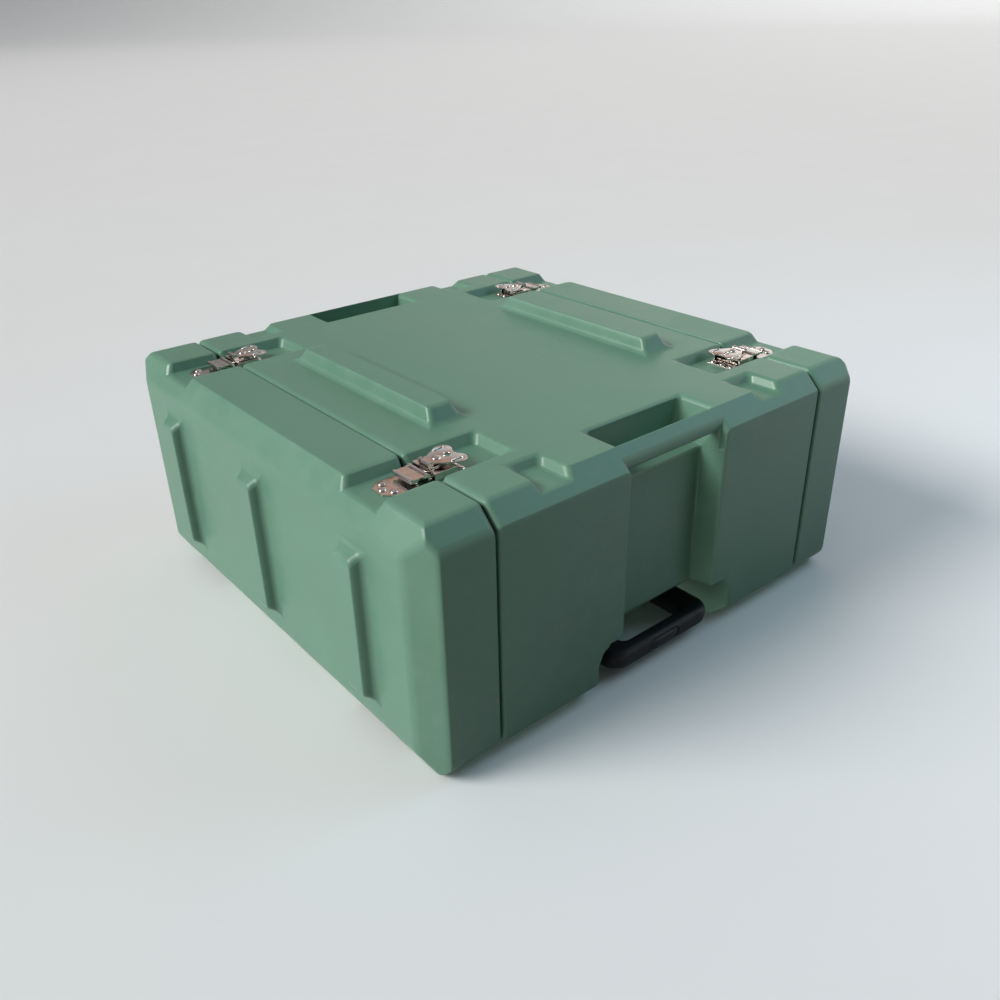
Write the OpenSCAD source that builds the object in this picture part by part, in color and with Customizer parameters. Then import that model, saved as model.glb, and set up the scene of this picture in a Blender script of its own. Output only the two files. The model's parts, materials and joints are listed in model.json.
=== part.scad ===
// Hard equipment case: a moulded sleeve with two lift-off lids, a shock-mounted
// equipment rack inside, twist latches, and a pull handle and wheels underneath.
// Origin: middle of the underside. +X runs from the left lid to the right lid,
// -Y is the face with the pull handle, +Z is up. Millimetres.

/* [Case] */
// Length over both lids, without the ribs
case_l = 640; // [600:10:760]
// Width from handle face to wheel face
case_w = 630; // [620:10:740]
// Height without the stacking ribs
case_h = 280; // [270:5:340]
// Wall of the moulded shells
wall = 6; // [5:0.5:7]
// Depth of each lid
lid_depth = 80; // [75:5:110]
// Gap between lid and sleeve that the seal fills
seal_gap = 3; // [2:0.5:4]
// Thickness of the lips that meet at the seal
lip_t = 12; // [11:0.5:14]
// Depth of those lips
lip_d = 12; // [8:1:16]

/* [Edges] */
// Slope of the four long edges, both legs
edge_c = 20; // [10:1:24]
// Sloped end edge of a lid: leg along the length
end_cx = 17; // [8:1:24]
// Sloped end edge of a lid: leg along the height
end_cz = 30; // [10:1:40]
// Sloped upright corner of a lid: leg along the width
corner_cy = 34; // [10:1:40]

/* [Ribs] */
// Height of the two stacking ribs on top
rib_h = 17; // [10:1:20]
// Width of a stacking rib at its foot
rib_w = 42; // [36:1:50]
// Length of a stacking rib at its foot
rib_l = 277; // [200:1:300]
// Distance from the middle to the centreline of a stacking rib
rib_x = 160; // [150:1:166]
// Height of the upright ribs on a lid
lid_rib_h = 13; // [8:1:16]
// Width of an upright rib at its foot
lid_rib_w = 41; // [30:1:50]
// Length of an upright rib at its foot
lid_rib_l = 173; // [120:1:190]
// Spacing of the three upright ribs
lid_rib_pitch = 200; // [160:5:220]

/* [Hand pockets] */
// Width of the hand pocket and of the recess below it
pocket_w = 144; // [120:2:160]
// Depth of the recess in the front and back faces
recess_d = 27; // [20:1:34]
// Distance from the front face to the pocket's back wall
pocket_back = 67; // [60:1:74]
// Depth of the pocket from the top
pocket_d = 44; // [36:1:50]
// Thickness of the moulded hand bar
bar_t = 13; // [10:1:15]
// Height of the moulded hand bar
bar_h = 24; // [18:1:26]
// Set-back of the bar from the front face
bar_back = 8; // [4:1:10]

/* [Latches] */
// Distance from the middle of the case to a latch's centreline, across the width
latch_y = 202.5; // [190:0.5:215]
// Depth of the latch recesses on top
latch_recess_d = 11.5; // [11:0.5:14]
// Depth of the latch recesses underneath, which hide the whole latch
under_recess_d = 18; // [17:0.5:20]
// Width of a top latch recess at its floor
latch_recess_w = 50; // [46:1:54]
// Width of an underneath latch recess at its floor
under_recess_w = 82; // [80:1:90]
// Distance from the parting line back to the spindle
spindle_back = 14; // [14:1:18]
// Width of the latch housing
latch_w = 38; // [36:1:40]
// Throw of the draw link
link_throw = 9; // [8:0.5:10]
// Width over the two lobes of the wing
wing_w = 42; // [38:1:44]

/* [Handle bay] */
// Width of the bay that the pull handle sits in
bay_w = 210; // [196:2:220]
// Height of the bay
bay_h = 62; // [58:1:66]
// Depth of the bay
bay_d = 110; // [100:2:130]
// Width of the channel for the handle tubes
channel_w = 176; // [170:2:186]
// Height of the channel
channel_h = 44; // [42:1:50]

/* [Pull handle] */
// Spacing of the two handle tubes
tube_pitch = 130; // [126:2:134]
// Outside diameter of an outer tube
outer_tube_d = 23; // [22:0.5:24]
// Outside diameter of an inner tube
inner_tube_d = 19; // [18:0.5:19.5]
// Height of the tubes' centreline above the underside
tube_z = 25.5; // [24:0.5:27]
// Width over the grip
grip_w = 164; // [160:2:172]
// Depth of the grip's front bar
grip_bar = 19; // [17:1:21]
// Thickness of the grip
grip_t = 23; // [21:1:25]
// Length of the grip, front to back
grip_l = 78; // [70:1:84]
// Width of the release button
button_w = 44; // [30:1:50]
// Height of the release button
button_h = 12; // [9:1:13]

/* [Wheels] */
// Wheel diameter
wheel_d = 56; // [48:1:58]
// Wheel width
wheel_w = 32; // [28:1:34]
// How far the wheels stand out past the back face
wheel_out = 10; // [6:1:14]
// Distance from the middle of the case to a wheel's centre
wheel_x = 143; // [140:1:148]
// Axle diameter
axle_d = 8; // [6:1:10]

/* [Rack] */
// Clear height between the rack's cross bars
rack_clear = 138; // [134:1:140]
// Distance across the rack between its fixing hole centres
rack_hole_w = 465.1; // [465.1:0.1:465.1]
// Depth of the rack along the case
rack_l = 430; // [400:5:440]
// Thickness of the rack's side plates
rack_plate_t = 3; // [2:0.5:4]
// Diameter of the rubber shock mounts
mount_d = 44; // [36:1:50]

/* [Hidden] */
$fn = 48;

half_l = case_l / 2;
half_w = case_w / 2;
mid_z = case_h / 2;
part_x = half_l - lid_depth;              // parting plane
body_x = part_x - seal_gap / 2;           // end face of the sleeve's lip
lid_x = part_x + seal_gap / 2;            // mouth face of a lid
past = 12;                                // how far cuts run past a face
slip = 0.3;                               // gap between pieces that move past each other
fit = 0.05;                               // radial clearance of a shaft or screw

// stacking channels in the top, beside the hand pockets
notch_d = 10;
notch_l = 60;
notch_w = rib_w;
groove_d = rib_h + 1;                     // grooves underneath take the ribs of a case below

// latch recess
recess_end = rib_x - 9;                   // inner end of a latch recess
latch_slope = 6.5;                        // spread of a recess side wall
top_floor = case_h - latch_recess_d;
under_floor = under_recess_d;
pivot_x = part_x - spindle_back;          // spindle axis

// latch heights above the recess floor
base_t = 1.5;
link_z = base_t + 0.7;
link_t = 2;
cam_z = link_z + link_t + slip;
cam_t = 2.8;
deck_z = cam_z + cam_t + slip;
deck_t = 1.5;
head_z = deck_z + deck_t + slip;
head_t = 1;
cam_pin_r = link_throw / 2;               // crank radius of the cam pin
cam_pin_d = 5;
spindle_d = 9;
pilot_d = 6;
hinge_u = 8;                              // wing hinge, towards the lid from the spindle
barrel_r = 2.6;
hinge_z = head_z + head_t + slip + barrel_r;
hinge_pin_d = 3;
wing_t = 1.6;
wing_l = 38;                              // from the hinge to the wing's tip
rivet_d = 4.8;
rivet_head_d = 8.5;
rivet_head_h = 1.4;
keeper_x0 = part_x + 12;                  // inner edge of the keeper's catch
keeper_x1 = part_x + 49;
link_tip = part_x + 22;                   // end of the draw link
catch_z = 4.6;                            // top of the keeper's catch
catch_gap = 0.4;

// pull handle
mouth_y = -half_w + bay_d;                // where the bay ends and the channel starts
channel_end = half_w - 56;
cover_t = 2;
cover_w = channel_w + 24;
grip_y = -half_w + 3;                     // front face of the grip
grip_z = tube_z - grip_t / 2;
grip_r = 20;                              // outer corner of the grip
tube_x = tube_pitch / 2;
outer_wall = 1.3;
inner_wall = 1.2;
tube_front = mouth_y + 4;
tube_back = channel_end - 8;
inner_back = tube_back - 26;
button_travel = 5;

// wheels
wheel_y = half_w + wheel_out - wheel_d / 2;
wheel_z = wheel_d / 2 + 2;
well_w = 50;
well_y = wheel_y - wheel_d / 2 - 8;
well_h = wheel_d + 8;
bracket_t = 2.5;

// rack
rack_z0 = max(bay_h, well_h) + wall + 2;  // underside of the rack
bar_sec = 9;                              // section of a rack cross bar
rack_h = rack_clear + 2 * bar_sec;
rack_mid_z = rack_z0 + rack_h / 2;
rack_y = rack_hole_w / 2 + 22.5;          // inner face of a side plate
rack_outer = rack_y + rack_plate_t;
rail_t = 2.5;
rail_flange = 30;
window = 60;                              // lightening window in a side plate
window_pitch = 100;
unit_pitch = 44.45;
hole_sq = 9.5;
inner_wall_y = half_w - wall;
mount_x = 168;
mount_dz = 44;
flange_t = 3;

// ---------- shared shapes ----------
// legs of a sloped corner after the walls move in by g
function leg(a, b, g) = a - g * (a + b - sqrt(a * a + b * b)) / b;

// rectangle of half sizes p, q with sloped corners, moved in by g
module sloped_rect(p, q, a, b, g) {
    h = p - g;
    k = q - g;
    la = leg(a, b, g);
    lb = leg(b, a, g);
    polygon([[h, k - lb], [h - la, k], [la - h, k], [-h, k - lb],
        [-h, lb - k], [la - h, -k], [h - la, -k], [h, lb - k]]);
}

// extrude a (y, z) outline along X, and an (x, z) outline along Y
module along_x(x0, x1) translate([x0, 0, 0]) rotate([90, 0, 90]) linear_extrude(x1 - x0) children();
module along_y(y0, y1) translate([0, y1, 0]) rotate([90, 0, 0]) linear_extrude(y1 - y0) children();

// tapered block: full size at height z1, narrower by s = [x0, x1, y0, y1] at z0;
// it runs on by e beyond z1
module taper(x, y, z0, z1, s, e = 0) intersection() {
    along_y(y[0] - 1, y[1] + 1)
        polygon([[x[0] + s[0], z0], [x[1] - s[1], z0], [x[1], z1], [x[1], z1 + e],
            [x[0], z1 + e], [x[0], z1]]);
    along_x(x[0] - 1, x[1] + 1)
        polygon([[y[0] + s[2], z0], [y[1] - s[3], z0], [y[1], z1], [y[1], z1 + e],
            [y[0], z1 + e], [y[0], z1]]);
}

module block(x, y, z) translate([x[0], y[0], z[0]]) cube([x[1] - x[0], y[1] - y[0], z[1] - z[0]]);
module rod_x(x0, x1, r, y, z) translate([x0, y, z]) rotate([0, 90, 0]) cylinder(r = r, h = x1 - x0);
module rod_y(y0, y1, r, x, z) translate([x, y0, z]) rotate([-90, 0, 0]) cylinder(r = r, h = y1 - y0);
module rod_z(z0, z1, r, x, y) translate([x, y, z0]) cylinder(r = r, h = z1 - z0);

// copy to both sides of the case
module both_x() {
    children();
    mirror([1, 0, 0]) children();
}
module both_y() {
    children();
    mirror([0, 1, 0]) children();
}

// ---------- case envelope ----------
// the closed outer form, with every wall moved in by g
module form(g) intersection() {
    along_x(-half_l, half_l) translate([0, mid_z]) sloped_rect(half_w, mid_z, edge_c, edge_c, g);
    along_y(-half_w, half_w) translate([0, mid_z]) sloped_rect(half_l, mid_z, end_cx, end_cz, g);
    linear_extrude(case_h) sloped_rect(half_l, half_w, end_cx, corner_cy, g);
}

// latch recesses, which cross from the sleeve into the lids, grown by g
module latch_recesses(g) both_x() both_y() {
    w0 = latch_recess_w / 2 + latch_slope + g;
    w1 = under_recess_w / 2 + latch_slope + g;
    taper([recess_end - g, half_l + past], [latch_y - w0, latch_y + w0], top_floor - g, case_h,
        [latch_slope, 0, latch_slope, latch_slope], past);
    taper([recess_end - g, half_l + past], [latch_y - w1, latch_y + w1], under_floor + g, 0,
        [latch_slope, 0, latch_slope, latch_slope], -past);
}

// hand pockets, the recesses below them and the gap under the bar, grown by g
module hand_pockets(g) {
    hp = pocket_w / 2 + g;
    py = half_w - pocket_back - g;
    floor_z = case_h - pocket_d - g;
    bar_y = half_w - bar_back;
    in_y = bar_y - bar_t;
    both_y() difference() {
        union() {
            taper([-hp, hp], [py, in_y + g], floor_z, case_h, [8, 8, 0, 0], past);
            block([8 - hp, hp - 8], [py, half_w + past], [floor_z, case_h - bar_h + g]);
            block([-hp, hp], [bar_y - g, half_w + past], [floor_z, case_h + past]);
            recess(g);
        }
    }
}

// shallow recess in a face, with sloped sides
module recess(g) {
    hp = pocket_w / 2 + g;
    y0 = half_w - recess_d - g;
    intersection() {
        linear_extrude(case_h) polygon([[8 - hp, y0], [hp - 8, y0], [hp, half_w], [hp, half_w + past],
            [-hp, half_w + past], [-hp, half_w]]);
        block([-hp, hp], [y0, half_w + past], [bay_h - g, case_h - bar_h + g]);
    }
}

// open channels in the top that catch a strap or a case stacked above, grown by g
module top_notches(g) both_x() both_y()
    taper([rib_x - notch_w / 2 - g, rib_x + notch_w / 2 + g], [half_w - notch_l - g, half_w + past],
        case_h - notch_d - g, case_h, [5, 5, 6, 0], past);

// grooves underneath for the ribs of a case below, grown by g
module rib_grooves(g) both_x()
    taper([rib_x - rib_w / 2 - 3 - g, rib_x + rib_w / 2 + 3 + g], [-rib_l / 2 - 3 - g, rib_l / 2 + 3 + g],
        groove_d + g, 0, [6, 6, 6, 6], -past);

// bay for the grip, channel for the tubes, rebate for the cover and wheel wells, grown by g
module handle_bay(g) {
    hb = bay_w / 2 + g;
    r = 12 + g;
    along_y(-half_w - past, mouth_y + g) {
        translate([-hb, -past]) square([2 * hb, bay_h + g + past - r]);
        translate([r - hb, -past]) square([2 * (hb - r), bay_h + g + past]);
        for (s = [-1, 1]) translate([s * (hb - r), bay_h + g - r]) circle(r);
    }
    block([-channel_w / 2 - g, channel_w / 2 + g], [mouth_y - 1, channel_end + g], [-past, channel_h + g]);
    block([-cover_w / 2 - g, cover_w / 2 + g], [mouth_y - 1, channel_end + 6 + g], [-past, cover_t + g]);
    both_x() block([wheel_x - well_w / 2 - g, wheel_x + well_w / 2 + g], [well_y - g, half_w + past],
        [-past, well_h + g]);
}

// stacking rib on top of the sleeve
module top_rib(h, w, l, s) taper([-w / 2, w / 2], [-l / 2, l / 2], h, 0, [s, s, 2 * s, 2 * s]);

// upright rib on the outer face of a lid, standing along +X
module lid_rib(h, w, l) rotate([0, 90, 0]) taper([-l / 2, l / 2], [-w / 2, w / 2], h, 0, [9, 9, 5, 5]);

// ---------- sleeve ----------
module body_walls() difference() {
    intersection() {
        form(0);
        block([-body_x, body_x], [-half_w, half_w], [0, case_h]);
    }
    latch_recesses(0);
    hand_pockets(0);
    top_notches(0);
    rib_grooves(0);
    handle_bay(0);
    difference() {
        intersection() {
            form(wall);
            block([-body_x - 1, body_x + 1], [-half_w, half_w], [0, case_h]);
        }
        latch_recesses(wall);
        hand_pockets(wall);
        top_notches(wall);
        rib_grooves(wall);
        handle_bay(wall);
        lip_ring(body_x - lip_d, body_x + 2);
    }
}

// thick lip between wall and lip_t inside the form, from x0 to x1 on both sides
module lip_ring(x0, x1) both_x() difference() {
    intersection() {
        form(0);
        block([x0, x1], [-half_w, half_w], [0, case_h]);
    }
    difference() {
        form(lip_t);
        latch_recesses(lip_t);
    }
}

module body_shell() color([0.33, 0.48, 0.38]) {
    difference() {
        union() {
            body_walls();
            both_x() translate([rib_x, 0, case_h]) top_rib(rib_h, rib_w, rib_l, 6);
        }
        both_x() translate([rib_x, 0, case_h - wall - 1])
            top_rib(rib_h + 1, rib_w - 2 * wall, rib_l - 4 * wall, 6);
        latch_holes(body = true);
        mount_holes();
        cover_holes();
        bracket_holes();
    }
}

// ---------- lids ----------
module lid_right_walls() difference() {
    union() {
        intersection() {
            form(0);
            block([lid_x, half_l], [-half_w, half_w], [0, case_h]);
        }
        for (k = [-1, 0, 1]) translate([half_l, k * lid_rib_pitch, mid_z])
            lid_rib(lid_rib_h, lid_rib_w, lid_rib_l);
    }
    latch_recesses(0);
    for (k = [-1, 0, 1]) translate([half_l - wall - 1, k * lid_rib_pitch, mid_z])
        lid_rib(lid_rib_h + 1, lid_rib_w - 2 * wall, lid_rib_l - 4 * wall);
    difference() {
        intersection() {
            form(wall);
            block([lid_x - 1, half_l], [-half_w, half_w], [0, case_h]);
        }
        latch_recesses(wall);
        lip_ring(lid_x - 2, lid_x + lip_d);
    }
    latch_holes(body = false);
}
module lid_right() color([0.33, 0.48, 0.38]) lid_right_walls();
module lid_left() color([0.33, 0.48, 0.38]) mirror([1, 0, 0]) lid_right_walls();

// rubber seal between the lips
module seal() color([0.03, 0.03, 0.03]) intersection() {
    block([body_x, lid_x], [-half_w, half_w], [0, case_h]);
    difference() {
        difference() {
            form(6);
            latch_recesses(6);
        }
        difference() {
            form(10);
            latch_recesses(10);
        }
    }
}
module seal_right() seal();
module seal_left() mirror([1, 0, 0]) seal();

// ---------- latches ----------
// move a latch drawn with u = distance from the case's middle along +X, v = 0 on its
// centreline and w = height above the recess floor; top = 1 on top, 0 underneath
module at_latch(right, front, top) translate([0, (front ? -1 : 1) * latch_y, top ? top_floor : under_floor])
    mirror([0, 0, top ? 0 : 1]) mirror([right ? 0 : 1, 0, 0]) children();

module every_latch() for (r = [0, 1], f = [0, 1], t = [0, 1]) at_latch(r, f, t) children();
module side_latches(r) for (f = [0, 1], t = [0, 1]) at_latch(r, f, t) children();

base_u0 = pivot_x - 28;                   // rear edge of the housing's plate
base_u1 = part_x - 3;
rivet_u = base_u0 + 5;
keeper_rivets = [[keeper_x1 - 12, -10], [keeper_x1 - 6, 0], [keeper_x1 - 12, 10]];
housing_rivets = [[rivet_u, -13], [rivet_u, 0], [rivet_u, 13]];

module latch_holes(body) every_latch()
    for (p = body ? housing_rivets : keeper_rivets) rod_z(-wall - 1, 1, rivet_d / 2 + fit, p[0], p[1]);

// pressed housing: plate, two side walls and a deck that carries the spindle
module latch_housing() difference() {
    union() {
        block([base_u0, base_u1], [-latch_w / 2, latch_w / 2], [0, base_t]);
        for (s = [-1, 1]) translate([0, s * (latch_w / 2 - base_t / 2), 0])
            block([pivot_x - 16, base_u1], [-base_t / 2, base_t / 2], [0, deck_z + deck_t]);
        block([pivot_x - 16, base_u1], [-latch_w / 2, latch_w / 2], [deck_z, deck_z + deck_t]);
    }
    rod_z(deck_z - 1, deck_z + deck_t + 1, spindle_d / 2 + fit, pivot_x, 0);
    rod_z(-1, base_t + 1, pilot_d / 2 + fit, pivot_x, 0);
    for (p = housing_rivets) rod_z(-1, base_t + 1, rivet_d / 2 + fit, p[0], p[1]);
}
module latch_housings() color([0.72, 0.70, 0.66]) every_latch() latch_housing();

// rivet set through a plate and the moulded wall
module rivet(p) {
    rod_z(base_t, base_t + 0.6, rivet_head_d / 2, p[0], p[1]);
    translate([p[0], p[1], base_t + 0.6])
        cylinder(r1 = rivet_head_d / 2, r2 = rivet_head_d / 4, h = rivet_head_h - 0.6);
    rod_z(-wall - 1.5, base_t, rivet_d / 2, p[0], p[1]);
    rod_z(-wall - 2, -wall, rivet_d / 2 + 1.5, p[0], p[1]);
}
module latch_rivets() color([0.72, 0.70, 0.66]) every_latch() for (p = housing_rivets) rivet(p);

// spindle with its cam, crank pin, pilot and the ears and pin of the wing's hinge
module spindle() {
    ear_y = 7.4;
    rod_z(cam_z, head_z, spindle_d / 2, pivot_x, 0);
    rod_z(cam_z, cam_z + cam_t, 13, pivot_x, 0);
    rod_z(0.2, cam_z, pilot_d / 2, pivot_x, 0);
    rod_z(link_z + slip, cam_z, cam_pin_d / 2, pivot_x - cam_pin_r, 0);
    rod_z(head_z, head_z + head_t, 8, pivot_x, 0);
    block([pivot_x, pivot_x + hinge_u + 3], [-8.6, 8.6], [head_z, head_z + head_t]);
    for (s = [-1, 1]) translate([0, s * ear_y, 0]) {
        block([pivot_x + hinge_u - 3, pivot_x + hinge_u + 3], [-1.2, 1.2], [head_z, hinge_z]);
        rod_y(-1.2, 1.2, 3, pivot_x + hinge_u, hinge_z);
    }
    rod_y(-ear_y - 1, ear_y + 1, hinge_pin_d / 2, pivot_x + hinge_u, hinge_z);
}

// wing: hinge barrel, neck and two rounded lobes with slots
lobe_r = 9;
lobe_v = wing_w / 2 - lobe_r;             // from the wing's centreline to a lobe's centre
neck_v = 5.7;                             // half width of the neck
neck_side = [[-23.2, lobe_v + 6.9], [-19, 13], [-15.5, 8.6], [-11, 6.2], [-7, neck_v], [-1.8, neck_v]];
module wing_outline() difference() {
    union() {
        for (s = [-1, 1]) translate([lobe_r - wing_l, s * lobe_v]) circle(lobe_r);
        polygon(concat([[4 - wing_l, -lobe_v], [4 - wing_l, lobe_v]], neck_side,
            [for (k = [len(neck_side) - 1:-1:0]) [neck_side[k][0], -neck_side[k][1]]]));
    }
    translate([13 - wing_l, 0]) circle(3.2);
    for (s = [-1, 1]) translate([12 - wing_l, s * (wing_w / 2 - 6)]) {
        translate([-4.5, -1.5]) square([9, 3]);
        for (e = [-4.5, 4.5]) translate([e, 0]) circle(1.5);
    }
}
module wing() translate([pivot_x + hinge_u, 0, hinge_z]) difference() {
    union() {
        translate([0, 0, -wing_t / 2]) linear_extrude(wing_t) wing_outline();
        rod_y(-neck_v, neck_v, barrel_r, 0, 0);
        rod_z(0, wing_t / 2 + 1, 4.2, -13.5, 0);
        translate([-13.5, 0, wing_t / 2 + 1]) cylinder(r1 = 4.2, r2 = 2.4, h = 0.9);
    }
    rod_y(-8, 8, hinge_pin_d / 2 + fit, 0, 0);
}

// draw link: slotted plate under the deck, a step up over the parting line and a claw
module draw_link() {
    hw = 15;
    roll_r = 2.1;
    step_u = part_x - 1;
    up_z = catch_z + catch_gap + 1.2;
    difference() {
        block([pivot_x - 14, step_u + 3], [-hw, hw], [link_z, link_z + link_t]);
        block([pivot_x - link_throw - pilot_d / 2 - slip, pivot_x + pilot_d / 2 + slip],
            [-pilot_d / 2 - slip, pilot_d / 2 + slip], [link_z - 1, link_z + link_t + 1]);
        block([pivot_x - cam_pin_r - cam_pin_d / 2 - 1.3, pivot_x - cam_pin_r + cam_pin_d / 2 + 1.3],
            [-cam_pin_r - cam_pin_d / 2 - slip, cam_pin_r + cam_pin_d / 2 + slip],
            [link_z - 1, link_z + link_t + 1]);
    }
    block([step_u + 1, step_u + 3], [-hw, hw], [link_z, up_z + link_t]);
    block([step_u + 1, link_tip], [-hw, hw], [up_z, up_z + link_t]);
    block([link_tip - 2, link_tip], [-hw, hw], [catch_z + catch_gap, up_z + link_t]);
    rod_y(-hw, hw, roll_r, step_u + 4, up_z + link_t);
    rod_y(-hw, hw, roll_r, link_tip - roll_r, catch_z + catch_gap + roll_r);
}

// keeper: plate with cut corners and a raised, turned-over catch
keeper_v = latch_w / 2 - 1;
module keeper() difference() {
    union() {
        linear_extrude(base_t) polygon([[keeper_x0, -keeper_v], [keeper_x1 - 10, -keeper_v],
            [keeper_x1, -keeper_v + 10], [keeper_x1, keeper_v - 10], [keeper_x1 - 10, keeper_v],
            [keeper_x0, keeper_v]]);
        block([keeper_x0, keeper_x0 + 1.6], [-13, 13], [0, catch_z]);
        block([keeper_x0, keeper_x0 + 6], [-13, 13], [catch_z - 1.4, catch_z]);
    }
    for (p = keeper_rivets) rod_z(-1, base_t + 1, rivet_d / 2 + fit, p[0], p[1]);
}
module keepers(r) color([0.72, 0.70, 0.66]) side_latches(r) keeper();
module keeper_rivet_set(r) color([0.72, 0.70, 0.66]) side_latches(r) for (p = keeper_rivets) rivet(p);
module latch_part(r, f, t) color([0.75, 0.73, 0.70]) at_latch(r, f, t) children();

// ---------- rack ----------
module rack_side_plates() color([0.12, 0.12, 0.13]) both_y() difference() {
    block([-rack_l / 2, rack_l / 2], [rack_y, rack_outer], [rack_z0, rack_z0 + rack_h]);
    for (x = [-1, 0, 1]) block([x * window_pitch - window / 2, x * window_pitch + window / 2],
        [rack_y - 1, rack_outer + 1], [rack_mid_z - window / 2, rack_mid_z + window / 2]);
    mount_bores(rack_y - 1, rack_outer + 1);
    rack_bolt_bores(rack_y - 1, rack_outer + 1);
}

// angle rails with three units of square fixing holes
module rack_rail() difference() {
    x1 = rack_l / 2;
    union() {
        block([x1 - rail_t, x1], [rack_y - rail_flange, rack_y], [rack_z0 + bar_sec, rack_z0 + rack_h - bar_sec]);
        block([x1 - 28, x1], [rack_y - rail_t, rack_y], [rack_z0 + bar_sec, rack_z0 + rack_h - bar_sec]);
    }
    for (u = [-1, 0, 1], k = [-15.875, 0, 15.875])
        translate([x1 - rail_t / 2, rack_hole_w / 2, rack_mid_z + u * unit_pitch + k])
            cube([rail_t + 2, hole_sq, hole_sq], center = true);
    rack_bolt_bores(rack_y - rail_t - 1, rack_y + 1);
}
module rack_rails() color([0.60, 0.61, 0.62]) both_x() both_y() rack_rail();

module rack_cross_bars() color([0.12, 0.12, 0.13]) both_x()
    for (z = [rack_z0, rack_z0 + rack_h - bar_sec])
        block([rack_l / 2 - 40, rack_l / 2 - 12], [-rack_y, rack_y], [z, z + bar_sec]);

rack_bolt_z = [rack_z0 + bar_sec + 12, rack_z0 + rack_h - bar_sec - 12];
module rack_bolt_bores(y0, y1) both_x() for (z = rack_bolt_z) rod_y(y0, y1, 3 + fit, rack_l / 2 - 17, z);
module rack_bolt() {
    for (z = rack_bolt_z) {
        rod_y(rack_y - rail_t - 5, rack_outer, 3, rack_l / 2 - 17, z);
        rod_y(rack_outer, rack_outer + 4, 5, rack_l / 2 - 17, z);
        translate([rack_l / 2 - 17, rack_y - rail_t, z]) rotate([90, 0, 0]) nut();
    }
}
module nut() difference() {
    cylinder(r = 5.6, h = 4.8, $fn = 6);
    translate([0, 0, -1]) cylinder(r = 3 + fit, h = 8);
}
module rack_bolts() color([0.65, 0.66, 0.68]) both_x() both_y() rack_bolt();

// rubber cylinders between the side plates and the sleeve's walls
module at_mounts() both_x() both_y() for (s = [-1, 1])
    translate([mount_x, 0, rack_mid_z + s * mount_dz]) children();
module mount_bores(y0, y1) both_x() for (s = [-1, 1])
    rod_y(y0, y1, 4 + fit, mount_x, rack_mid_z + s * mount_dz);
module shock_rubbers() color([0.05, 0.05, 0.05]) at_mounts()
    rod_y(rack_outer + flange_t, inner_wall_y - flange_t, mount_d / 2, 0, 0);
module shock_flanges() color([0.65, 0.66, 0.68]) at_mounts() {
    rod_y(rack_outer, rack_outer + flange_t, mount_d / 2, 0, 0);
    rod_y(rack_y - 12, rack_outer, 4, 0, 0);
    difference() {
        block([-32, 32], [inner_wall_y - flange_t, inner_wall_y], [-mount_d / 2 + 2, mount_d / 2 - 2]);
        for (x = [-27, 27]) rod_y(inner_wall_y - 6, inner_wall_y + 1, 2.5 + fit, x, 0);
    }
}
module mount_holes() at_mounts() for (x = [-27, 27])
    rod_y(inner_wall_y - 1, inner_wall_y + wall - 1.5, 2.5 + fit, x, 0);
module shock_screws() color([0.65, 0.66, 0.68]) at_mounts() for (x = [-27, 27]) {
    rod_y(inner_wall_y - flange_t, inner_wall_y + wall - 2, 2.5, x, 0);
    rod_y(inner_wall_y - flange_t - 3, inner_wall_y - flange_t, 4.5, x, 0);
}

// ---------- pull handle ----------
outer_r = outer_tube_d / 2;
inner_r = inner_tube_d / 2;
bore_r = outer_r - outer_wall;
bracket_ys = [tube_front + 10, tube_back - 30];

module handle_outer_tubes() color([0.70, 0.71, 0.72]) both_x() difference() {
    rod_y(tube_front, tube_back, outer_r, tube_x, tube_z);
    rod_y(tube_front - 1, tube_back + 1, bore_r, tube_x, tube_z);
}
module handle_tube_bushes() color([0.05, 0.05, 0.05]) both_x() difference() {
    union() {
        rod_y(tube_front - 8, tube_front, outer_r + 1.5, tube_x, tube_z);
        rod_y(tube_front, tube_front + 14, bore_r - fit, tube_x, tube_z);
    }
    rod_y(tube_front - 9, tube_front + 15, inner_r + 0.08, tube_x, tube_z);
}
module handle_tube_brackets() color([0.12, 0.12, 0.13]) for (y = bracket_ys) difference() {
    block([-channel_w / 2, channel_w / 2], [y, y + 20], [channel_h - 30, channel_h]);
    for (s = [-1, 1]) rod_y(y - 1, y + 21, outer_r + fit, s * tube_x, tube_z);
    block([-tube_x + 20, tube_x - 20], [y - 1, y + 21], [channel_h - 31, channel_h - 6]);
    for (x = [-24, 24]) rod_z(channel_h - 7, channel_h + 1, 2.5 + fit, x, y + 10);
}
module bracket_holes() for (y = bracket_ys, x = [-24, 24])
    rod_z(channel_h - 1, channel_h + wall - 1.5, 2.5 + fit, x, y + 10);
cover_screw_x = channel_w / 2 + 6;
cover_screw_y = [mouth_y + 20, mouth_y + 150, mouth_y + 280, channel_end - 20];
module cover_holes() for (y = cover_screw_y) both_x()
    rod_z(cover_t - 1, cover_t + wall - 1.5, 2 + fit, cover_screw_x, y);
module channel_cover() color([0.12, 0.12, 0.13]) difference() {
    block([-cover_w / 2, cover_w / 2], [mouth_y, channel_end + 6], [0, cover_t]);
    for (y = cover_screw_y) both_x() {
        rod_z(-1, cover_t + 1, 2 + fit, cover_screw_x, y);
        translate([cover_screw_x, y, 0]) cylinder(r1 = 4 + fit, r2 = 2 + fit, h = cover_t);
    }
}
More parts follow.
